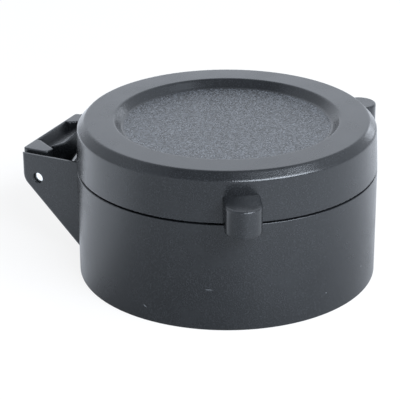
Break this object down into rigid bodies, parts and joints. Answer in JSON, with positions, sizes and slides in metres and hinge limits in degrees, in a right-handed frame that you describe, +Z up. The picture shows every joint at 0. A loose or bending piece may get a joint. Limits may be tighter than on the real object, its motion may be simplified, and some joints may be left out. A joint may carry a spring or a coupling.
{
  "type": "flip-up lens cap",
  "caption": "Round flip-up lens cap: a plain sleeve that slides over a lens barrel and a dished lid on a sprung pin hinge, with finger tabs.",
  "frame": {"origin": "centre of the barrel socket's mouth, on the plane of the sleeve's lower face", "axes": "+Z up along the sleeve to the lid, +Y from the axis to the hinge, X along the hinge pin"},
  "size_m": [0.0502, 0.0541, 0.0244],
  "materials": {
    "moulded_body": "satin dark grey moulding",
    "steel_pin": "bright drawn steel",
    "spring_wire": "drawn spring wire"
  },
  "bodies": {
    "sleeve": {"sleeve": "moulded_body", "hinge_pin": "steel_pin", "torsion_spring": "spring_wire"},
    "lid": {"lid": "moulded_body"}
  },
  "joints": [
    {"name": "lid_hinge", "type": "hinge", "parent": "sleeve", "child": "lid", "pos_m": [0, 0.0281, 0.0129], "axis": [-1, 0, 0], "range_deg": [0, 180]}
  ]
}
